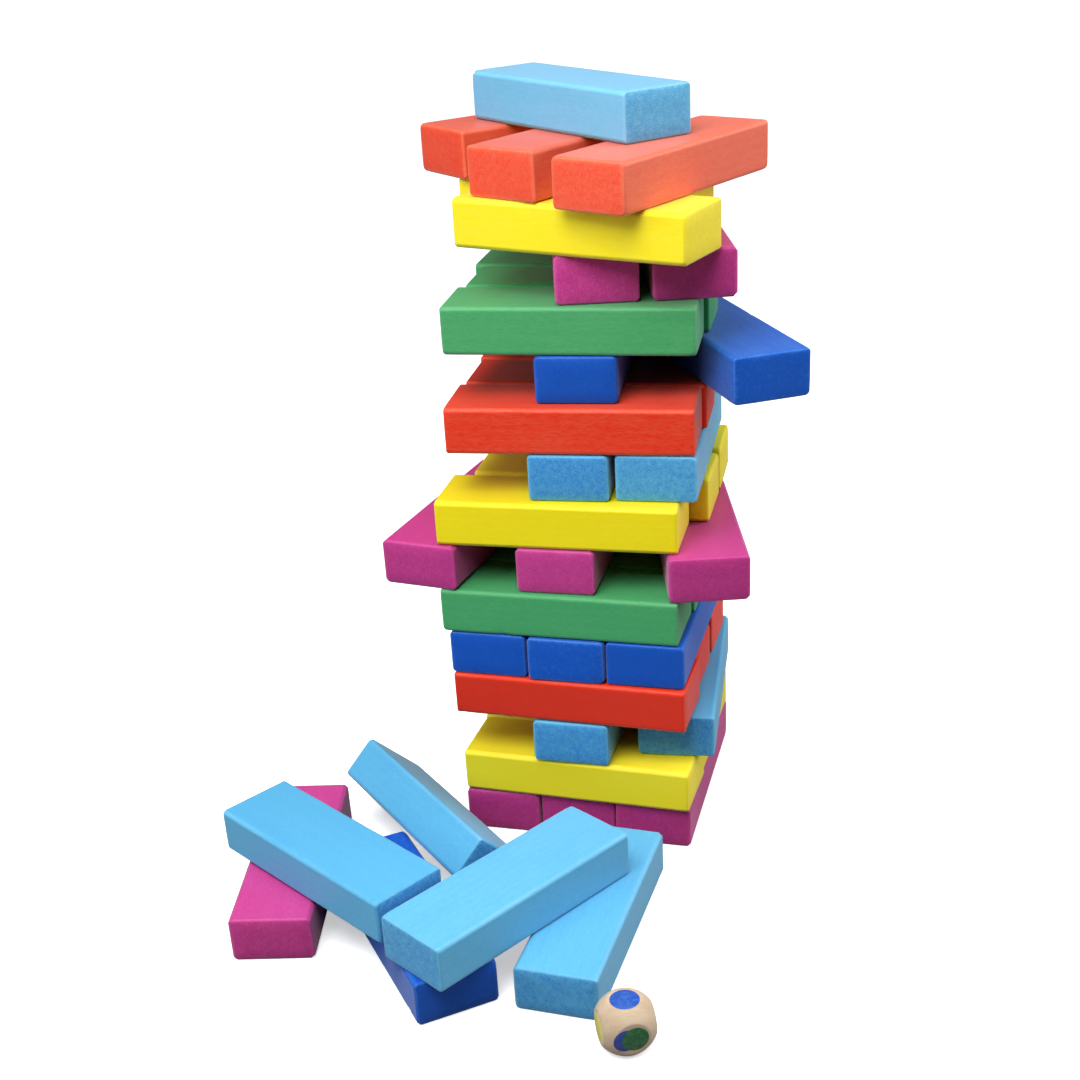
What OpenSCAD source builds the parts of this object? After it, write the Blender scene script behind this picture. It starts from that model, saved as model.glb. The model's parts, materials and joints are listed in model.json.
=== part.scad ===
// Tumbling tower: sixteen layers of wooden blocks, three to a layer, part way through a game.
// Six blocks have been drawn out and lie in front of the tower with the colour die.
// X runs to the right, Y to the back and Z up. The origin is the middle of the tower's foot.

/* [Block] */
// Length of every block
block_length = 75; // [60:1:90]
// Width of every block
block_width = 24.5; // [20:0.5:24.5]
// Height of every block
block_height = 14.45; // [10:0.05:18]
// Radius of the sanded edges
edge_radius = 1.2; // [0.4:0.2:2]

/* [Tower] */
// Distance between the middles of neighbouring blocks in one layer
slot_pitch = 25; // [25:0.5:27]
// Air between two layers, which lets a block slide out
slip_gap = 0.05; // [0.02:0.01:0.3]

/* [Die] */
// Distance across opposite flats of the die
die_size = 15; // [10:0.5:20]
// Roundness of the die, as the radius of its ball over half its size
die_roundness = 1.2; // [1.15:0.05:1.35]

/* [Hidden] */
$fn = 32;

// Height from one layer to the next
layer_pitch = block_height + slip_gap;

// How a layer's blocks run: end faces to the front, or long sides to the front
END_ON = 90;
SIDE_ON = 0;

LIGHT_BLUE = "#5BB8E6";
PURPLE = "#A8307A";
YELLOW = "#E6DC28";
RED = "#DC3C20";
BLUE = "#1450B4";
GREEN = "#4CA060";
BARE_WOOD = "#E2C7A0";

// Each layer from the foot up: its colour, the way it runs and its blocks.
// Each block: its place, its slot, its shift across the slot, its shift along it and its turn.
LAYERS = [
    ["purple", PURPLE, END_ON, [
        ["left", -1, 0, -1, 0],
        ["centre", 0, 0, 0, 0],
        ["right", 1, 0, -1, 0]]],
    ["yellow", YELLOW, SIDE_ON, [
        ["front", -1, -2.5, 0.5, -2],
        ["middle", 0, -2.5, 0.5, -1.5],
        ["back", 1, -2.5, 0, -1]]],
    ["light_blue", LIGHT_BLUE, END_ON, [
        ["centre", 0, -0.5, -3, 0],
        ["right", 1, 3, 7, 5.5]]],
    ["red", RED, SIDE_ON, [
        ["front", -1, -3, -0.5, -1.5],
        ["middle", 0, -2, -1.5, -1],
        ["back", 1, 1.5, -1.5, 0]]],
    ["blue", BLUE, END_ON, [
        ["left", -1, -1, -1.5, -0.5],
        ["centre", 0, -1, -2.5, 0],
        ["right", 1, -1, -2, 0]]],
    ["green", GREEN, SIDE_ON, [
        ["front", -1, -2, -3, 0],
        ["middle", 0, -2, -2, 0],
        ["back", 1, -2, -2.5, 0.5]]],
    ["purple", PURPLE, END_ON, [
        ["left", -1, -17, -1, -7.5],
        ["centre", 0, -4.5, 0, 1.5],
        ["right", 1, 8.5, 0, 16]]],
    ["yellow", YELLOW, SIDE_ON, [
        ["front", -1, 0, -3.5, 2],
        ["middle", 0, 1.5, 1.5, 2],
        ["back", 1, 3.5, 0.5, 3]]],
    ["light_blue", LIGHT_BLUE, END_ON, [
        ["centre", 0, -2, 4, 4.5],
        ["right", 1, -0.3, 7, 3.5]]],
    ["red", RED, SIDE_ON, [
        ["front", -1, 4, 0.5, 5],
        ["middle", 0, 4.5, 0, 4],
        ["back", 1, 5, -3, 3.5]]],
    ["blue", BLUE, END_ON, [
        ["centre", 0, -0.5, 8.5, 6],
        ["right", 1, 15, 12.5, 32]]],
    ["green", GREEN, SIDE_ON, [
        ["front", -1, 8.5, 0.5, 4.5],
        ["middle", 0, 9, 0.5, 3.5],
        ["back", 1, 9.5, -4, 2.5]]],
    ["purple", PURPLE, END_ON, [
        ["centre", 0, 0, 11.5, 15.5],
        ["right", 1, 1, 18.5, 17.5]]],
    ["yellow", YELLOW, SIDE_ON, [
        ["front", -1, 7.5, 5.5, -15],
        ["middle", 0, 12, -1.5, -15],
        ["back", 1, 23, -9, -15]]],
    ["red", RED, END_ON, [
        ["left", -1, 2.5, 42, -39.5],
        ["centre", 0, -2.5, 11.5, -23.5],
        ["right", 1, 1.5, -5, -23]]],
    ["light_blue", LIGHT_BLUE, SIDE_ON, [
        ["top", 0, 13.5, -3, -39]]]];

// Blocks drawn out of the tower that lie flat: name, colour, middle in X and Y, level and turn
LOOSE_BLOCKS = [
    ["loose_purple_floor", PURPLE, -81.5, -81, 0, 102.5],
    ["loose_blue_floor", BLUE, -35.5, -101.5, 0, 129],
    ["loose_light_blue_floor", LIGHT_BLUE, 17, -89, 0, 87],
    ["loose_light_blue_left", LIGHT_BLUE, -62.5, -94, 1, -30.5],
    ["loose_light_blue_right", LIGHT_BLUE, -4, -102, 1, 59]];

// The block that stands on one long edge and leans: its name and colour
LEANING_BLOCK = ["loose_light_blue_leaning", LIGHT_BLUE];
// The middle of the edge that it stands on, its turn and how far it is tipped
leaning_edge = [-40, -53.5];
leaning_turn = -43.5;
leaning_tip = 45.5;

// The die's place and turn on the floor
die_place = [36.5, -134];
die_turn = 28;

function two_digits(n) = n < 10 ? str("0", n) : str(n);

// Where a block's middle is: across and along swap over between the two ways a layer runs
function slot_place(run, across, along) = run == END_ON ? [across, along] : [along, across];

TOWER_BLOCKS = [
    for (level = [0 : len(LAYERS) - 1])
        let (layer = LAYERS[level])
            for (block = layer[3])
                let (place = slot_place(layer[2], block[1] * slot_pitch + block[2], block[3]))
                    [str("layer", two_digits(level + 1), "_", layer[0], "_", block[0]),
                     layer[1], place[0], place[1], level, layer[2] + block[4]]];

FLAT_BLOCKS = concat(TOWER_BLOCKS, LOOSE_BLOCKS);

// A rectangle with round corners, centred
module rounded_rectangle(size, radius) {
    square([size[0] - 2 * radius, size[1]], center = true);
    square([size[0], size[1] - 2 * radius], center = true);
    for (x = [-1, 1], y = [-1, 1])
        translate([x * (size[0] / 2 - radius), y * (size[1] / 2 - radius)])
            circle(radius);
}

// One block with its length along X, centred in X and Y and standing on Z = 0
module wooden_block() {
    translate([0, 0, block_height / 2])
        intersection() {
            linear_extrude(block_height, center = true)
                rounded_rectangle([block_length, block_width], edge_radius);
            rotate([90, 0, 0])
                linear_extrude(block_width, center = true)
                    rounded_rectangle([block_length, block_height], edge_radius);
            rotate([90, 0, 90])
                linear_extrude(block_length, center = true)
                    rounded_rectangle([block_width, block_height], edge_radius);
        }
}

// A block that lies flat, in the tower or on the floor
module flat_block(block) {
    color(block[1])
        translate([block[2], block[3], block[4] * layer_pitch])
            rotate([0, 0, block[5]])
                wooden_block();
}

// The block that is tipped on its long edge and leans on the others
module leaning_block() {
    color(LEANING_BLOCK[1])
        translate([leaning_edge[0], leaning_edge[1], 0])
            rotate([0, 0, leaning_turn])
                rotate([-leaning_tip, 0, 0])
                    translate([0, -block_width / 2, 0])
                        wooden_block();
}

// The colour die: a cube rounded by a ball, with a round flat on each side
module colour_die() {
    color(BARE_WOOD)
        translate([die_place[0], die_place[1], die_size / 2])
            rotate([0, 0, die_turn])
                intersection() {
                    cube(die_size, center = true);
                    sphere(die_size / 2 * die_roundness);
                }
}

for (block = FLAT_BLOCKS)
    flat_block(block);
leaning_block();  // loose_light_blue_leaning
colour_die();
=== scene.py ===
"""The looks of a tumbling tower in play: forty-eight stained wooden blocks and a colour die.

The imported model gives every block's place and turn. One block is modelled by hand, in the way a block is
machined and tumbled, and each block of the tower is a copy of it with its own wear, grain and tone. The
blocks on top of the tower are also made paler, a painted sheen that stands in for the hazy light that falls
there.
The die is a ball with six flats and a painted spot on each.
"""

import json
import logging
import math
import random
from collections.abc import Callable
from dataclasses import dataclass, field
from enum import Enum

import bmesh
import bpy
import numpy as np
from mathutils import Matrix, Vector, noise


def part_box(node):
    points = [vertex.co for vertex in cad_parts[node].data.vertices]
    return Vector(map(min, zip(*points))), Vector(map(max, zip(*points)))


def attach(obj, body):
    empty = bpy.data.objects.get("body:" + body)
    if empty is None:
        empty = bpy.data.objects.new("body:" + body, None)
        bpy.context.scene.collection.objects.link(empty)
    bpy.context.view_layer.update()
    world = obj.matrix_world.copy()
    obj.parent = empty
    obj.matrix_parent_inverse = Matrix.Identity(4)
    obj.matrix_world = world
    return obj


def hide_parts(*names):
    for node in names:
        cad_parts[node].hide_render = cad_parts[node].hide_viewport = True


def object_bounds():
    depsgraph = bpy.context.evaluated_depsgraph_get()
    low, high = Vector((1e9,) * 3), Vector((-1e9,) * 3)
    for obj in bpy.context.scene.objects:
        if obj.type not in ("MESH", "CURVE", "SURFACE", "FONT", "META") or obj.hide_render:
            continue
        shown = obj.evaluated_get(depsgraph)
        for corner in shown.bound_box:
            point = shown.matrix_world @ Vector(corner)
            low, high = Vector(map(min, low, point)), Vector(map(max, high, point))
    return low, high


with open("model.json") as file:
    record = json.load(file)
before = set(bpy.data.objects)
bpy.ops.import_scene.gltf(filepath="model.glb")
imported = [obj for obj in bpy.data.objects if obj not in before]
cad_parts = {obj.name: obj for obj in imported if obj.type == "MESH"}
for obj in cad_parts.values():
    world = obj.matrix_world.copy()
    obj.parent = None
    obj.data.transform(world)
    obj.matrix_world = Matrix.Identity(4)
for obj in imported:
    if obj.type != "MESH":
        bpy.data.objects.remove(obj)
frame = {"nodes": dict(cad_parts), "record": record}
CAD_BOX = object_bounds()

logging.basicConfig(level=logging.INFO, format="%(message)s")
LOG = logging.getLogger("tumbling_tower")

MM = 0.001
# Faces look the same way if the cosine between them is above this, and square to each other if it is below.
SAME_WAY = 0.99999
SQUARE = 0.01
# A face counts as one of the largest from this share of the largest area.
AS_LARGE = 0.98
# A block lies front to back if its long axis leans sideways by less than this.
FRONT_TO_BACK = 0.3
# At scale 1, the rings of a wave texture are this far apart.
WAVE_PERIOD = 0.314


def linear(hex_colour: str) -> tuple[float, float, float, float]:
    """Turns an sRGB hex colour into the linear colour that a shader takes.

    Args:
        hex_colour: A colour such as "#5BB8E6".

    Returns:
        Linear red, green, blue and an alpha of 1.
    """
    parts = [int(hex_colour[i : i + 2], 16) / 255 for i in (1, 3, 5)]
    red, green, blue = (c / 12.92 if c <= 0.04045 else ((c + 0.055) / 1.055) ** 2.4 for c in parts)
    return red, green, blue, 1.0


def per_metre(size_mm: float) -> float:
    """The texture scale, in repeats a metre, of a pattern whose marks are size_mm wide."""
    return 1.0 / (size_mm * MM)


def add_node(
    tree: bpy.types.NodeTree,
    kind: str,
    sockets: dict[str | int, object] | None = None,
    **settings: object,
) -> bpy.types.Node:
    """Adds one node with its settings, its values and its links.

    Args:
        tree: The node tree that gets the node.
        kind: The node's type, such as "ShaderNodeMath".
        sockets: For each input, by name or number, either a value or the output socket that feeds it.
        settings: The node's own properties.

    Returns:
        The new node.
    """
    node = tree.nodes.new(kind)
    for name, value in settings.items():
        setattr(node, name, value)
    for key, value in (sockets or {}).items():
        if isinstance(value, bpy.types.NodeSocket):
            tree.links.new(value, node.inputs[key])
        else:
            node.inputs[key].default_value = value
    return node


def math_node(tree: bpy.types.NodeTree, operation: str, *values: object) -> bpy.types.NodeSocket:
    """Works out one sum in a material.

    Args:
        tree: The material's node tree.
        operation: The sum, such as "MULTIPLY".
        values: Its terms, each a number or an output socket.

    Returns:
        The socket that holds the answer.
    """
    return add_node(tree, "ShaderNodeMath", dict(enumerate(values)), operation=operation).outputs[0]


def noise_node(
    tree: bpy.types.NodeTree,
    place: bpy.types.NodeSocket,
    size_mm: float,
    sockets: dict[str, float] | None = None,
) -> bpy.types.NodeSocket:
    """Adds a cloudy pattern.

    Args:
        tree: The material's node tree.
        place: The coordinates that the pattern follows.
        size_mm: How wide its marks are.
        sockets: Its other values, such as "Detail".

    Returns:
        The socket that holds the pattern, from 0 to 1 round 0.5.
    """
    values = {"Vector": place, "Scale": per_metre(size_mm)} | (sockets or {})
    return add_node(tree, "ShaderNodeTexNoise", values).outputs["Fac"]


def centred(
    tree: bpy.types.NodeTree,
    pattern: bpy.types.NodeSocket,
    reach: float | bpy.types.NodeSocket,
) -> bpy.types.NodeSocket:
    """Turns a pattern round 0.5 into one round 0.

    Args:
        tree: The material's node tree.
        pattern: The pattern, from 0 to 1.
        reach: How far the new pattern goes from its lowest to its highest.

    Returns:
        The socket that holds the new pattern.
    """
    return math_node(tree, "MULTIPLY", math_node(tree, "SUBTRACT", pattern, 0.5), reach)


def empty_material(name: str) -> tuple[bpy.types.Material, bpy.types.NodeTree]:
    """Makes a material without any nodes.

    Args:
        name: The real material or finish.

    Returns:
        The material and its node tree.
    """
    made = bpy.data.materials.new(name)
    made.use_nodes = True
    made.node_tree.nodes.clear()
    return made, made.node_tree


def deselect_all() -> None:
    """Leaves nothing selected, so that an operator acts on the new piece alone."""
    if bpy.context.mode != "OBJECT":
        bpy.ops.object.mode_set(mode="OBJECT")
    bpy.ops.object.select_all(action="DESELECT")


def pick_edges(piece: bpy.types.Object, wanted: Callable[[Vector, Vector], bool]) -> None:
    """Selects, in edit mode, the edges whose two ends pass a test.

    Args:
        piece: The object that is being edited.
        wanted: Takes the places of an edge's two ends.
    """
    bpy.ops.mesh.select_mode(type="EDGE")
    bpy.ops.mesh.select_all(action="DESELECT")
    form = bmesh.from_edit_mesh(piece.data)
    for edge in form.edges:
        first, second = edge.verts
        if wanted(first.co, second.co):
            edge.select_set(True)
    bmesh.update_edit_mesh(piece.data)


def cut_across(axis: int, places: list[float]) -> None:
    """Cuts the mesh being edited at places along an axis, so that it has points to wear and shade by.

    Args:
        axis: 0 for X, 1 for Y and 2 for Z.
        places: Where each cut goes, in metres.
    """
    normal = Vector((0, 0, 0))
    normal[axis] = 1
    for place in places:
        bpy.ops.mesh.select_all(action="SELECT")
        bpy.ops.mesh.bisect(plane_co=normal * place, plane_no=normal, use_fill=False)


def even_cuts(half: float, step: float) -> list[float]:
    """Places of even cuts from -half to half, about a step apart, with both ends.

    Args:
        half: Half the stretch that is cut.
        step: The widest space between cuts.

    Returns:
        The places, in metres.
    """
    count = max(1, math.ceil(2 * half / step))
    return [-half + 2 * half * i / count for i in range(count + 1)]


def flat_faces(node: bpy.types.Object) -> list[tuple[Vector, float]]:
    """Finds which way a CAD node's flat faces look.

    Args:
        node: A node of the frame.

    Returns:
        The normal and the area of each flat face, the largest face first.
    """
    faces: list[tuple[Vector, float]] = []
    for polygon in sorted(node.data.polygons, key=lambda p: -p.area):
        for i, (normal, area) in enumerate(faces):
            if normal.dot(polygon.normal) > SAME_WAY:
                faces[i] = (normal, area + polygon.area)
                break
        else:
            faces.append((polygon.normal.copy(), polygon.area))
    return sorted(faces, key=lambda face: -face[1])


def widest(faces: list[tuple[Vector, float]]) -> list[Vector]:
    """The normals of the faces that are as large as the first."""
    return [normal for normal, area in faces if area > faces[0][1] * AS_LARGE]


def node_place(name: str) -> Matrix:
    """Works out where a node lies from its box and its flat faces.

    Args:
        name: A node of the frame.

    Returns:
        A matrix whose origin is the node's centre, whose X runs along its longest side and whose Z looks up.
    """
    low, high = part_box(name)
    faces = flat_faces(frame["nodes"][name])
    up = max(widest(faces), key=lambda normal: normal.z)
    upright = [face for face in faces if abs(face[0].dot(up)) < SQUARE]
    side = min(widest(upright), key=lambda normal: normal.y)
    along = side.cross(up).normalized()
    if along.x < -FRONT_TO_BACK or (along.x < FRONT_TO_BACK and along.y < 0):
        along.negate()
    place = Matrix((along, up.cross(along), up)).transposed().to_4x4()
    place.translation = (low + high) / 2
    return place


def mark_grain(mesh: bpy.types.Mesh, grain: np.ndarray, marks: dict[str, np.ndarray]) -> None:
    """Notes on a mesh what its wood's material reads.

    Args:
        mesh: The mesh of a wooden piece.
        grain: Where each point lies in the log that the piece was cut from.
        marks: Every other mark by name, with its value at each point.
    """
    mesh.attributes.new("billet", "FLOAT_VECTOR", "POINT").data.foreach_set("vector", grain.ravel())
    for name, values in marks.items():
        mesh.attributes.new(name, "FLOAT", "POINT").data.foreach_set("value", values)


@dataclass(frozen=True)
class StainedBeech:
    """Beech that is dyed through its surface and sealed with a thin satin lacquer.

    The dye sinks into the pores and most of all into the cut ends, which turn deeper and speckled. On the
    rounded edges it is rubbed thin, and they are paler.

    Attributes:
        name: The material's name.
        body: The colour of most of the surface.
        deep: The colour where the dye has sunk in most.
        pale: The colour where it is rubbed thin.
        roughness: Of the lacquer on the sides.
        pore_mm: How wide a pore is.
        pore_run: How many times longer than wide a pore is along the grain.
        ring_mm: The space between growth rings.
        mottle_mm: How wide the patches are in which the dye takes unevenly.
        mottle_run: The share of their scale that the patches keep along the grain, which draws them out.
        blotch_mm: How wide the blotches on the cut ends are.
        end_speckle: How much more the colour varies on the ends than on the sides.
        end_sink: How much deeper the ends are than the sides.
        side_speckle: How much the pores show on the sides.
        streaks: How much the patches show.
        rings: How much the growth rings show.
        rubbed: How much paler the edges are.
        blotch_share: How much of the speckle of the ends the blotches have.
        relief_mm: The depth of the grain under the lacquer.
        end_dullness: How much rougher the ends are than the sides.
        gloss_change: How much the roughness varies from patch to patch.
        reflection: How much the lacquer reflects.
        fuzz: The sheen of the raised grain under the lacquer.
        stops: The depths of the dye at which its deep colour, its body and its pale colour lie.
    """

    name: str
    body: str
    deep: str
    pale: str
    roughness: float = 0.44
    pore_mm: float = 0.42
    pore_run: float = 4.5
    ring_mm: float = 2.6
    mottle_mm: float = 7.0
    mottle_run: float = 0.3
    blotch_mm: float = 1.7
    end_speckle: float = 0.26
    end_sink: float = 0.06
    side_speckle: float = 0.15
    streaks: float = 0.05
    rings: float = 0.012
    rubbed: float = 0.1
    blotch_share: float = 0.9
    relief_mm: float = 0.04
    end_dullness: float = 0.12
    gloss_change: float = 0.2
    reflection: float = 0.22
    fuzz: float = 0.26
    stops: tuple[float, float, float] = (0.15, 0.5, 0.9)

    def growth_rings(
        self, tree: bpy.types.NodeTree, place: bpy.types.NodeSocket
    ) -> bpy.types.NodeSocket:
        """Growth rings curve across the ends and run as faint lines along the sides.

        Args:
            tree: The material's node tree.
            place: The block's own coordinates, drawn out along the grain.

        Returns:
            The socket that holds the pattern.
        """
        values = {
            "Vector": place,
            "Scale": WAVE_PERIOD * per_metre(self.ring_mm),
            "Distortion": 2.5,
            "Detail": 2.0,
            "Detail Scale": 1.5,
        }
        wave = add_node(tree, "ShaderNodeTexWave", values, wave_type="RINGS", rings_direction="X")
        return wave.outputs["Fac"]

    def dye(self, tree: bpy.types.NodeTree, depth: bpy.types.NodeSocket) -> bpy.types.NodeSocket:
        """Turns the depth of the dye into its colour.

        Args:
            tree: The material's node tree.
            depth: How far the dye is rubbed thin, from 0 to 1.

        Returns:
            The socket that holds the colour.
        """
        deep, body, pale = self.stops
        ramp = add_node(tree, "ShaderNodeValToRGB", {0: depth})
        colours = ramp.color_ramp.elements
        colours[0].position, colours[0].color = deep, linear(self.deep)
        colours[1].position, colours[1].color = pale, linear(self.pale)
        colours.new(body).color = linear(self.body)
        return ramp.outputs[0]

    def material(self) -> bpy.types.Material:
        """Builds the material; its grain follows each block's own coordinates.

        Returns:
            The new material.
        """
        made, tree = empty_material(self.name)
        billet = add_node(tree, "ShaderNodeAttribute", attribute_name="billet").outputs["Vector"]
        # The tone mark carries each block's own tone and, on the blocks on top of the tower, a painted sheen
        # that makes them paler.
        tone_and_painted_sheen, end, edge = (
            add_node(tree, "ShaderNodeAttribute", attribute_name=mark).outputs["Fac"]
            for mark in ("tone_and_painted_sheen", "end_cut", "edge")
        )

        # The pores are fine tubes along the block: dots on its ends and short dashes on its sides.
        stretch = {"Vector": billet, "Scale": (1 / self.pore_run, 1, 1)}
        tubes = add_node(tree, "ShaderNodeMapping", stretch).outputs[0]
        pores = noise_node(tree, tubes, self.pore_mm, {"Detail": 2.0, "Roughness": 0.6})
        # Dye takes unevenly over patches a few millimetres wide, drawn out along the grain.
        stretch = {"Vector": billet, "Scale": (self.mottle_run, 1, 1)}
        drawn = add_node(tree, "ShaderNodeMapping", stretch).outputs[0]
        mottle = noise_node(tree, drawn, self.mottle_mm, {"Detail": 4.0})
        # The cut ends drink the dye in blotches.
        blotches = noise_node(tree, drawn, self.blotch_mm, {"Detail": 3.0, "Roughness": 0.7})

        speckle_reach = math_node(tree, "MULTIPLY_ADD", end, self.end_speckle, self.side_speckle)
        blotch_reach = math_node(tree, "MULTIPLY", end, self.end_speckle * self.blotch_share)
        terms = (
            centred(tree, pores, speckle_reach),
            centred(tree, mottle, self.streaks),
            centred(tree, self.growth_rings(tree, drawn), self.rings),
            math_node(tree, "MULTIPLY", end, -self.end_sink),
            centred(tree, blotches, blotch_reach),
            math_node(tree, "MULTIPLY", math_node(tree, "MULTIPLY", edge, mottle), self.rubbed),
            tone_and_painted_sheen,
        )
        depth = 0.5
        for term in terms:
            depth = math_node(tree, "ADD", depth, term)

        height = math_node(tree, "MULTIPLY_ADD", mottle, 0.5, pores)
        relief = {"Height": height, "Strength": 0.2, "Distance": self.relief_mm * MM}
        bump = add_node(tree, "ShaderNodeBump", relief).outputs[0]
        # The sawn ends are duller than the planed sides, and every patch a little different.
        dull = math_node(tree, "MULTIPLY_ADD", end, self.end_dullness, self.roughness)
        gloss = math_node(tree, "ADD", centred(tree, mottle, self.gloss_change), dull)
        shader = add_node(
            tree,
            "ShaderNodeBsdfPrincipled",
            {
                "Base Color": self.dye(tree, depth),
                "Roughness": gloss,
                "Normal": bump,
                "IOR": 1.5,
                "Specular IOR Level": self.reflection,
                "Sheen Weight": self.fuzz,
                "Sheen Roughness": 0.35,
            },
        )
        add_node(tree, "ShaderNodeOutputMaterial", {"Surface": shader.outputs[0]})
        return made


@dataclass(frozen=True)
class SpotPaint:
    """Enamel dabbed on a die in a thin round spot. It is glossier than the wood and slightly streaked.

    Attributes:
        name: The material's name.
        body: The colour of most of the spot.
        pale: The colour of its thin streaks.
        streak_mm: How wide the streaks are.
        relief_mm: How high they stand.
        roughness: Of the dry enamel.
    """

    name: str
    body: str
    pale: str
    streak_mm: float = 1.1
    relief_mm: float = 0.04
    roughness: float = 0.32

    def material(self) -> bpy.types.Material:
        """Builds the material.

        Returns:
            The new material.
        """
        made, tree = empty_material(self.name)
        place = add_node(tree, "ShaderNodeTexCoord").outputs["Object"]
        streaks = noise_node(tree, place, self.streak_mm, {"Detail": 3.0, "Distortion": 0.6})
        ramp = add_node(tree, "ShaderNodeValToRGB", {0: streaks})
        stops = ramp.color_ramp.elements
        stops[0].position, stops[0].color = 0.45, linear(self.body)
        stops[1].position, stops[1].color = 0.8, linear(self.pale)
        relief = {"Height": streaks, "Strength": 0.3, "Distance": self.relief_mm * MM}
        bump = add_node(tree, "ShaderNodeBump", relief).outputs[0]
        shader = add_node(
            tree,
            "ShaderNodeBsdfPrincipled",
            {"Base Color": ramp.outputs[0], "Roughness": self.roughness, "Normal": bump, "IOR": 1.5},
        )
        add_node(tree, "ShaderNodeOutputMaterial", {"Surface": shader.outputs[0]})
        return made


class Stain(Enum):
    """The finish of each material slot of the record."""

    light_blue_paint = StainedBeech(
        "light_blue_stained_beech", "#58ABD5", "#1868C4", "#9ED6F6", end_speckle=0.42, end_sink=0.13
    )
    purple_paint = StainedBeech("purple_stained_beech", "#C03A87", "#8A1C5C", "#DE7AB6")
    yellow_paint = StainedBeech("yellow_stained_beech", "#F2DE12", "#D2B608", "#F8F070")
    red_paint = StainedBeech("red_stained_beech", "#E23216", "#B21E0C", "#EC9470", end_speckle=0.09)
    blue_paint = StainedBeech("blue_stained_beech", "#0E55BC", "#083690", "#66A8EA", end_speckle=0.16)
    green_paint = StainedBeech("green_stained_beech", "#429E60", "#267444", "#86C494")
    bare_wood = StainedBeech(
        "sanded_bare_beech", "#C2AC92", "#8E6848", "#DACCB6", roughness=0.55, streaks=0.5
    )


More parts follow.
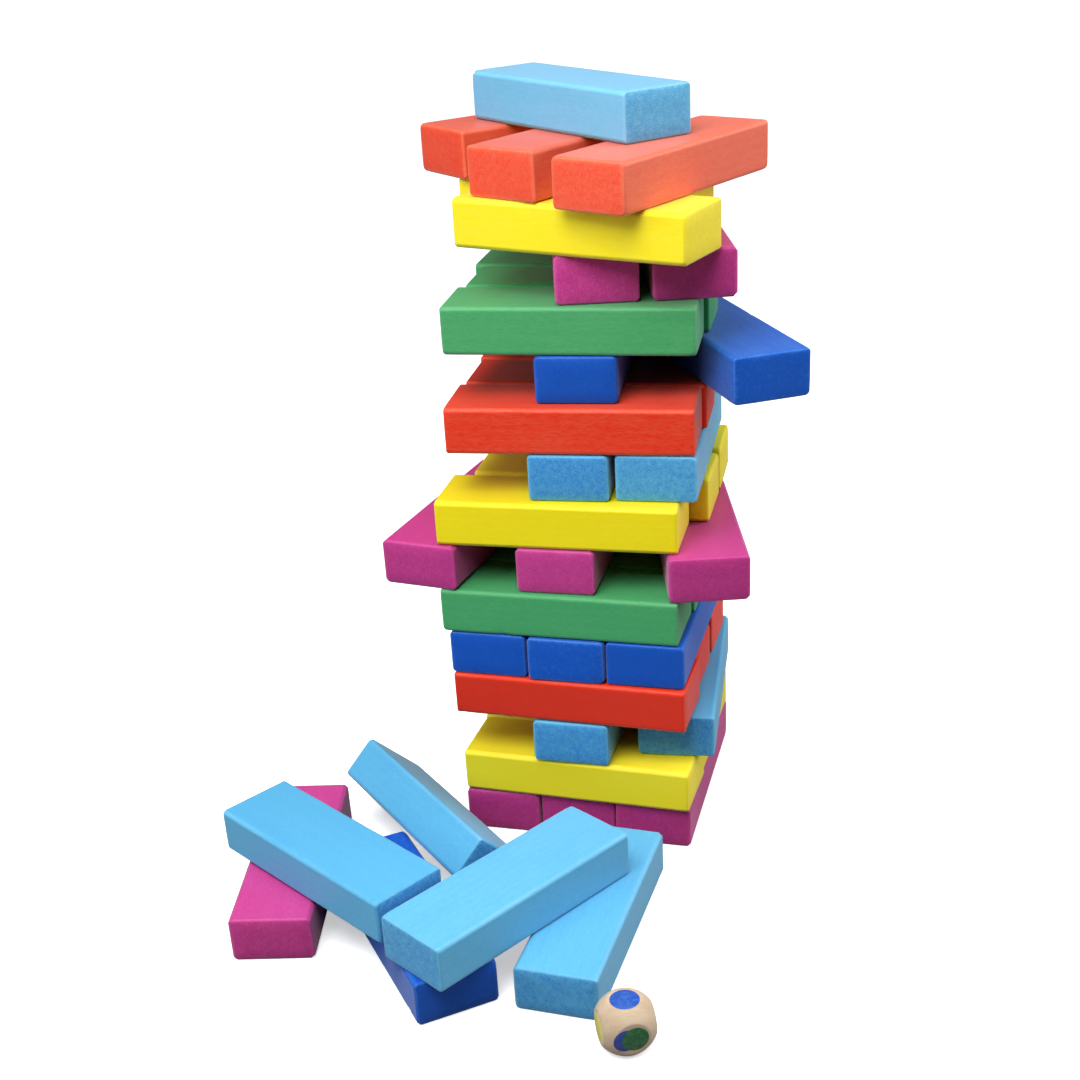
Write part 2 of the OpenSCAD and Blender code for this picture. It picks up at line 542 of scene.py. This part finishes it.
@dataclass
class WoodenBlocks:
    """The forty-eight blocks of the tower and of the pile in front of it.

    Attributes:
        pattern_node: The node that gives the size of a block.
        long_edge: The radius of the four edges along the block.
        end_edge: The radius of the edges round its ends.
        hold: How far from a rounded edge the first cut on a flat goes.
        edge_gain: How fast the wear grows from a flat on to a rounded edge.
        cut_step: The space between cuts across the block.
        face_step: The space between cuts along it.
        edge_wear: How far an edge is usually rubbed down.
        wear_range: The share of that for the least and the most rubbed block.
        wear_wave: The length of the waves that the rubbing leaves.
        sanding: How uneven the flats are.
        sanding_wave: The length of the waves in the flats.
        dent_depth: The depth of the hardest knock.
        dent_reach: How far a knock is felt.
        dents: How many knocks a block has had.
        knock_range: The share of the full depth for the softest and the hardest knock.
        heart_aside: How far to either side of the block the heart of its log may lie.
        heart_range: The least and the greatest distance of the heart above or below it.
        tone_change: How far a block's tone strays either way.
        seed: The first block's source of chance.
        sheen_painted_above: Blocks above this height are made paler, a painted sheen that stands in for the
            hazy light on the top of the tower.
        painted_sheen_tone: How much paler that painted sheen makes them.
    """

    pattern_node: str = "layer01_purple_centre"
    long_edge: float = 1.15 * MM
    end_edge: float = 0.7 * MM
    hold: float = 0.35 * MM
    edge_gain: float = 2.6
    cut_step: float = 1.6 * MM
    face_step: float = 3.6 * MM
    edge_wear: float = 0.3 * MM
    wear_range: tuple[float, float] = (0.2, 1.2)
    wear_wave: float = 9 * MM
    sanding: float = 0.05 * MM
    sanding_wave: float = 24 * MM
    dent_depth: float = 0.35 * MM
    dent_reach: float = 2.2 * MM
    dents: int = 5
    knock_range: tuple[float, float] = (0.35, 1.0)
    heart_aside: float = 0.03
    heart_range: tuple[float, float] = (0.01, 0.04)
    tone_change: float = 0.04
    seed: int = 48
    sheen_painted_above: float = 200 * MM
    painted_sheen_tone: float = 0.15
    half: Vector = field(init=False)

    def __post_init__(self) -> None:
        """Takes the size of a block from the frame."""
        place = node_place(self.pattern_node)
        inward = place.inverted()
        corners = [inward @ v.co for v in frame["nodes"][self.pattern_node].data.vertices]
        self.half = Vector(max(abs(c[i]) for c in corners) for i in range(3))

    def model(self) -> bpy.types.Object:
        """Machines one block round the origin: a bar with rounded edges, cut into small faces.

        Returns:
            The block that all others are copied from.
        """
        deselect_all()
        size = self.half * 2
        bpy.ops.mesh.primitive_cube_add(size=1, location=(0, 0, 0), scale=size)
        block = bpy.context.active_object
        bpy.ops.object.transform_apply(location=False, rotation=False, scale=True)
        bpy.ops.object.mode_set(mode="EDIT")
        pick_edges(block, lambda a, b: abs(a.x - b.x) > self.half.x)
        bpy.ops.mesh.bevel(offset=self.long_edge, segments=4, profile=0.5)
        pick_edges(block, lambda a, b: a.x * b.x > 0 and self.on_end(a) and self.on_end(b))
        bpy.ops.mesh.bevel(offset=self.end_edge, segments=3, profile=0.5)
        margin = self.long_edge + self.hold
        cut_across(0, even_cuts(self.half.x - self.end_edge - self.hold, self.cut_step))
        cut_across(1, even_cuts(self.half.y - margin, self.face_step))
        cut_across(2, even_cuts(self.half.z - margin, self.face_step))
        bpy.ops.mesh.select_all(action="SELECT")
        bpy.ops.mesh.normals_make_consistent(inside=False)
        bpy.ops.object.mode_set(mode="OBJECT")
        bpy.ops.object.shade_smooth()
        return block

    def on_end(self, place: Vector) -> bool:
        """Says whether a point lies on one of the block's two cut ends."""
        return abs(place.x) > self.half.x - 1e-6

    def edge_amount(self, place: Vector) -> float:
        """How far a point is onto a rounded edge, from 0 on a flat to 1 in the middle of the rounding."""
        over = sorted(
            max(0.0, abs(place[axis]) - (self.half[axis] - radius)) / radius
            for axis, radius in enumerate((self.end_edge, self.long_edge, self.long_edge))
        )
        return min(1.0, over[1] * self.edge_gain)

    def dent_places(self, dice: random.Random) -> list[Vector]:
        """Picks where a block was knocked: points on its long edges and corners.

        Args:
            dice: The block's own source of chance.

        Returns:
            The middle of each dent.
        """
        places = []
        for _ in range(self.dents):
            place = Vector([dice.choice((-1, 1)) * half for half in self.half])
            # Two knocks in three land on a corner.
            place.x *= dice.choice((1.0, 1.0, dice.uniform(0, 1)))
            places.append(place)
        return places

    def wear(self, block: bpy.types.Object, dice: random.Random, height: float) -> None:
        """Sands, rounds and knocks one block, always inwards, and notes its grain for the material.

        The blocks on top of the tower are made paler: a painted sheen that stands in for the hazy light that
        falls on the top of the tower.

        Args:
            block: A fresh copy of the block, still round the origin.
            dice: The block's own source of chance.
            height: How high the block lies.
        """
        mesh = block.data
        shift = Vector(dice.uniform(-5, 5) for _ in range(3))
        knocks = [(place, dice.uniform(*self.knock_range)) for place in self.dent_places(dice)]
        # The heart of the log lies beside the block, at a different distance for each.
        aside = dice.uniform(-1, 1), dice.uniform(-self.heart_aside, self.heart_aside)
        heart = Vector((*aside, dice.choice((-1, 1))))
        heart.z *= dice.uniform(*self.heart_range)
        tone_and_painted_sheen = dice.uniform(-self.tone_change, self.tone_change)
        # Painted sheen: the blocks on top of the tower are made paler, standing in for the hazy light that
        # falls there.
        if height > self.sheen_painted_above:
            tone_and_painted_sheen += self.painted_sheen_tone
        roundness = self.edge_wear * dice.uniform(*self.wear_range)
        count = len(mesh.vertices)
        grain = np.zeros((count, 3), np.float32)
        edges = np.zeros(count, np.float32)
        ends = np.zeros(count, np.float32)
        moved = []
        for vertex in mesh.vertices:
            place = vertex.co.copy()
            amount = self.edge_amount(place)
            softness = 0.8 + 0.25 * noise.noise(place / self.wear_wave + shift)
            depth = roundness * amount * softness
            depth += self.sanding * (0.5 + 0.5 * noise.noise(place / self.sanding_wave + shift))
            for middle, force in knocks:
                near = 1 - (place - middle).length / self.dent_reach
                # A knock is deepest in its middle and fades out smoothly.
                if near > 0:
                    depth += self.dent_depth * force * near * near * (3 - 2 * near)
            moved.append(place - vertex.normal * depth)
            grain[vertex.index] = place + heart
            edges[vertex.index] = amount
            ends[vertex.index] = self.on_end(place)
        for vertex, place in zip(mesh.vertices, moved):
            vertex.co = place
        # Each block's own tone, with the painted sheen of the top blocks, goes to the material as one mark.
        tone_and_painted_sheen_values = np.full(count, tone_and_painted_sheen, np.float32)
        mark_grain(mesh, grain, {"edge": edges, "end_cut": ends, "tone_and_painted_sheen": tone_and_painted_sheen_values})

    def build(self, slots: dict[str, str], finishes: dict[str, bpy.types.Material]) -> None:
        """Makes, wears, places and dresses every block.

        Args:
            slots: The material slot of each block's node.
            finishes: The material of each slot.
        """
        pattern = self.model()
        for number, (node, slot) in enumerate(slots.items()):
            block = pattern.copy()
            block.data = pattern.data.copy()
            block.name = block.data.name = f"block_{node}"
            bpy.context.scene.collection.objects.link(block)
            place = node_place(node)
            self.wear(block, random.Random(self.seed + number), place.translation.z)
            block.data.transform(place)
            block.data.materials.append(finishes[slot])
            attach(block, node)
            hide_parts(node)
            LOG.info("%s: %d faces", block.name, len(block.data.polygons))
        bpy.data.objects.remove(pattern)


@dataclass(frozen=True)
class Spot:
    """One painted spot.

    Attributes:
        face: The way the flat that it is on looks.
        paint: Its enamel.
        radius: Its radius.
        shift: How far it is off the middle of its flat.
        thick: How thick the disc is; half of it is sunk in.
    """

    face: tuple[int, int, int]
    paint: SpotPaint
    radius: float = 4.1 * MM
    shift: tuple[float, float] = (0.0, 0.0)
    thick: float = 0.06 * MM


BLUE_SPOT = SpotPaint("blue_spot_enamel", "#2450AA", "#3F70C4")
YELLOW_SPOT = SpotPaint("yellow_spot_enamel", "#E0D24A", "#F0E68A")
GREEN_SPOT = SpotPaint("green_spot_enamel", "#145A2C", "#4A7A54")
DARK_BLUE_SPOT = SpotPaint("dark_blue_spot_enamel", "#223C8E", "#3A58A8")
RED_SPOT = SpotPaint("red_spot_enamel", "#CC3A24", "#E06A50")
PURPLE_SPOT = SpotPaint("purple_spot_enamel", "#9C3078", "#BC5C9C")
LIGHT_BLUE_SPOT = SpotPaint("light_blue_spot_enamel", "#5CB4E0", "#8CCCEC")


@dataclass
class ColourDie:
    """The die that says which colour to draw: a wooden ball with six flats and a spot on each."""

    node: str = "colour_die"
    cuts: int = 62
    tumbling: int = 4
    spots: tuple[Spot, ...] = (
        Spot((0, 0, 1), BLUE_SPOT),
        Spot((-1, 0, 0), YELLOW_SPOT),
        Spot((0, -1, 0), DARK_BLUE_SPOT, radius=3.4 * MM, shift=(-2.0 * MM, 0)),
        Spot((0, -1, 0), GREEN_SPOT, radius=3.7 * MM, shift=(0.7 * MM, 0), thick=0.1 * MM),
        Spot((1, 0, 0), RED_SPOT),
        Spot((0, 1, 0), PURPLE_SPOT),
        Spot((0, 0, -1), LIGHT_BLUE_SPOT, thick=0.02 * MM),
    )
    place: Matrix = field(init=False)
    half: float = field(init=False)
    ball: float = field(init=False)

    def __post_init__(self) -> None:
        """Takes the die's place and its two sizes, across the flats and across the ball, from the frame."""
        self.place = node_place(self.node)
        inward = self.place.inverted()
        points = [inward @ v.co for v in frame["nodes"][self.node].data.vertices]
        self.half = max(abs(p.z) for p in points)
        self.ball = max(p.length for p in points)

    def model(self) -> bpy.types.Object:
        """Cuts a cube and turns its corners and edges down to a ball, so that six round flats are left.

        Returns:
            The die, round the origin.
        """
        deselect_all()
        bpy.ops.mesh.primitive_cube_add(size=2 * self.half, location=(0, 0, 0))
        die = bpy.context.active_object
        bpy.ops.object.mode_set(mode="EDIT")
        bpy.ops.mesh.subdivide(number_cuts=self.cuts)
        bpy.ops.object.mode_set(mode="OBJECT")
        for vertex in die.data.vertices:
            if vertex.co.length > self.ball:
                vertex.co *= self.ball / vertex.co.length
        soften = die.modifiers.new("tumbled_rims", "SMOOTH")
        soften.factor = 0.5
        soften.iterations = self.tumbling
        bpy.ops.object.modifier_apply(modifier=soften.name)
        bpy.ops.object.shade_smooth()
        return die

    def dab(self, spot: Spot, number: int) -> bpy.types.Object:
        """Dabs one spot: a thin disc with a soft rim, half sunk in its flat.

        Args:
            spot: What and where.
            number: Its place in the list, for its name.

        Returns:
            The spot.
        """
        deselect_all()
        normal = Vector(spot.face)
        turn = normal.to_track_quat("Z", "Y").to_matrix().to_4x4()
        bpy.ops.mesh.primitive_cylinder_add(
            vertices=64, radius=spot.radius, depth=spot.thick, location=(0, 0, 0)
        )
        dab = bpy.context.active_object
        dab.name = dab.data.name = f"die_spot_{number}_{spot.paint.name}"
        bpy.ops.object.mode_set(mode="EDIT")
        pick_edges(dab, lambda a, b: a.z > 0 and b.z > 0)
        bpy.ops.mesh.bevel(offset=spot.thick * 0.8, segments=2, profile=0.5)
        bpy.ops.object.mode_set(mode="OBJECT")
        bpy.ops.object.shade_smooth_by_angle(angle=math.radians(40))
        sideways = Vector((spot.shift[0], spot.shift[1], self.half))
        dab.data.transform(self.place @ turn @ Matrix.Translation(sideways))
        dab.data.materials.append(spot.paint.material())
        return dab

    def build(self, finish: bpy.types.Material) -> None:
        """Makes the die and its spots and puts them where the frame's die lies.

        Args:
            finish: The bare wood.
        """
        die = self.model()
        die.name = die.data.name = "die_wood"
        points = np.array([v.co for v in die.data.vertices], np.float32)
        plain = np.zeros(len(points), np.float32)
        mark_grain(die.data, points, {"edge": plain, "end_cut": plain, "tone_and_painted_sheen": plain})
        die.data.transform(self.place)
        die.data.materials.append(finish)
        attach(die, self.node)
        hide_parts(self.node)
        LOG.info("%s: %d faces", die.name, len(die.data.polygons))
        for number, spot in enumerate(self.spots, 1):
            dab = self.dab(spot, number)
            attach(dab, self.node)
            LOG.info("%s: %d faces", dab.name, len(dab.data.polygons))


@dataclass(frozen=True)
class SoftBox:
    """One studio light: a square of soft white light that looks at the tower."""

    name: str
    place: tuple[float, float, float]
    aim: tuple[float, float, float]
    side: float
    power: float

    def hang(self) -> None:
        """Adds the light to the scene."""
        data = bpy.data.lights.new(self.name, "AREA")
        data.shape = "SQUARE"
        data.size = self.side
        data.energy = self.power
        lamp = bpy.data.objects.new(self.name, data)
        lamp.visible_camera = False
        bpy.context.scene.collection.objects.link(lamp)
        lamp.location = self.place
        ahead = Vector(self.aim) - Vector(self.place)
        lamp.rotation_euler = ahead.to_track_quat("-Z", "Y").to_euler()


@dataclass(frozen=True)
class HazySky:
    """Even light from a wide part of the sky, which falls alike on the whole floor."""

    towards: tuple[float, float, float]
    strength: float
    spread: float

    def hang(self) -> None:
        """Adds the light to the scene."""
        data = bpy.data.lights.new("hazy_sky", "SUN")
        data.energy = self.strength
        data.angle = math.radians(self.spread)
        lamp = bpy.data.objects.new("hazy_sky", data)
        bpy.context.scene.collection.objects.link(lamp)
        lamp.rotation_euler = Vector(self.towards).to_track_quat("Z", "Y").to_euler()


@dataclass
class Studio:
    """The floor, the light and the camera. Places are in metres from the middle of the tower's foot.

    Attributes:
        eye: Where the camera stands.
        azimuth: Which way it looks, in degrees to the right of straight back.
        pitch: How far it looks up, in degrees.
        roll: How far it is rolled, in degrees.
        lens: Its focal length in millimetres.
        shift: Its shift, in shares of the picture.
        floor_size: The side of the floor.
        floor_gap: How far below the lowest block the floor lies.
        floor_white: The floor as the camera sees it.
        floor_bounce: The floor as it lights the blocks.
        floor_glow: How much light of its own the floor shows to the camera.
        backdrop: How bright the surround looks.
        surround: How much the surround lights the blocks.
        sky: The even light from above.
        boxes: The studio lights.
    """

    eye: Vector = field(default_factory=lambda: Vector((0.1169, -0.4672, 0.2944)))
    azimuth: float = -14.61
    pitch: float = -25.81
    roll: float = 2.64
    lens: float = 53.66
    shift: tuple[float, float] = (-0.0404, 0.0723)
    floor_size: float = 12.0
    floor_gap: float = 0.02 * MM
    floor_white: str = "#FAFAFA"
    floor_bounce: str = "#868686"
    floor_glow: float = 0.5
    backdrop: float = 1.0
    surround: float = 0.02
    sky: HazySky = HazySky(towards=(0.0, -0.12, 1.0), strength=2.1, spread=70)
    boxes: tuple[SoftBox, ...] = (
        SoftBox("front_top_light", (-0.03, -0.32, 0.5), (0, 0, 0.22), 0.25, 1.85),
        SoftBox("right_light", (0.75, 0.3, 0.45), (0, 0, 0.14), 0.6, 5.8),
        SoftBox("left_light", (-0.65, -0.5, 0.45), (-0.02, -0.05, 0.08), 0.5, 2.6),
    )

    def lay_floor(self) -> None:
        """Lays the pale floor that the tower stands on.

        Seen straight on it glows a little, so that it is white up to the horizon. What it throws back on the
        blocks is dimmer, so that it doesn't wash their colours out.
        """
        deselect_all()
        under = (0, 0, CAD_BOX[0].z - self.floor_gap)
        bpy.ops.mesh.primitive_plane_add(size=self.floor_size, location=under)
        floor = bpy.context.active_object
        floor.name = "floor"
        made, tree = empty_material("matt_white_board")
        seen = add_node(tree, "ShaderNodeLightPath").outputs["Is Camera Ray"]
        white = add_node(tree, "ShaderNodeBsdfDiffuse", {"Color": linear(self.floor_white)}).outputs[0]
        dim = add_node(tree, "ShaderNodeBsdfDiffuse", {"Color": linear(self.floor_bounce)}).outputs[0]
        glow = add_node(tree, "ShaderNodeEmission", {"Strength": self.floor_glow}).outputs[0]
        lit = add_node(tree, "ShaderNodeAddShader", {0: white, 1: glow}).outputs[0]
        mixed = add_node(tree, "ShaderNodeMixShader", {0: seen, 1: dim, 2: lit}).outputs[0]
        add_node(tree, "ShaderNodeOutputMaterial", {"Surface": mixed})
        floor.data.materials.append(made)

    def light(self) -> None:
        """Hangs the lights in an even pale surround."""
        world = bpy.data.worlds.new("surround")
        world.use_nodes = True
        tree = world.node_tree
        tree.nodes.clear()
        seen = add_node(tree, "ShaderNodeLightPath").outputs["Is Camera Ray"]
        strength = math_node(tree, "MULTIPLY_ADD", seen, self.backdrop - self.surround, self.surround)
        background = add_node(tree, "ShaderNodeBackground", {"Color": (1, 1, 1, 1), "Strength": strength})
        add_node(tree, "ShaderNodeOutputWorld", {"Surface": background.outputs[0]})
        bpy.context.scene.world = world
        self.sky.hang()
        for box in self.boxes:
            box.hang()

    def set_camera(self) -> None:
        """Stands the camera where it looks down on the tower from the front and a little to the right."""
        azimuth, pitch, roll = (math.radians(a) for a in (self.azimuth, self.pitch, self.roll))
        ahead = Vector(
            (math.sin(azimuth) * math.cos(pitch), math.cos(azimuth) * math.cos(pitch), math.sin(pitch))
        )
        right = Vector((math.cos(azimuth), -math.sin(azimuth), 0))
        down = ahead.cross(right)
        across = right * math.cos(roll) + down * math.sin(roll)
        below = down * math.cos(roll) - right * math.sin(roll)
        data = bpy.data.cameras.new("camera")
        data.lens = self.lens
        data.sensor_width = 36
        data.shift_x, data.shift_y = self.shift
        data.clip_start = 0.01
        camera = bpy.data.objects.new("camera", data)
        bpy.context.scene.collection.objects.link(camera)
        place = Matrix((across, -below, -ahead)).transposed().to_4x4()
        place.translation = self.eye
        camera.matrix_world = place
        bpy.context.scene.camera = camera
        bpy.context.scene.view_settings.view_transform = "Standard"

    def build(self) -> None:
        """Sets the whole studio up."""
        self.lay_floor()
        self.light()
        self.set_camera()


def main() -> None:
    """Builds the studio, the blocks and the die."""
    slots = {part["node"]: part["material_slot"] for part in frame["record"]["subparts"]}
    finishes = {stain.name: stain.value.material() for stain in Stain}
    Studio().build()
    die = ColourDie()
    blocks = {node: slot for node, slot in slots.items() if node != die.node}
    WoodenBlocks().build(blocks, finishes)
    die.build(finishes[slots[die.node]])


if __name__ == "__main__":
    main()
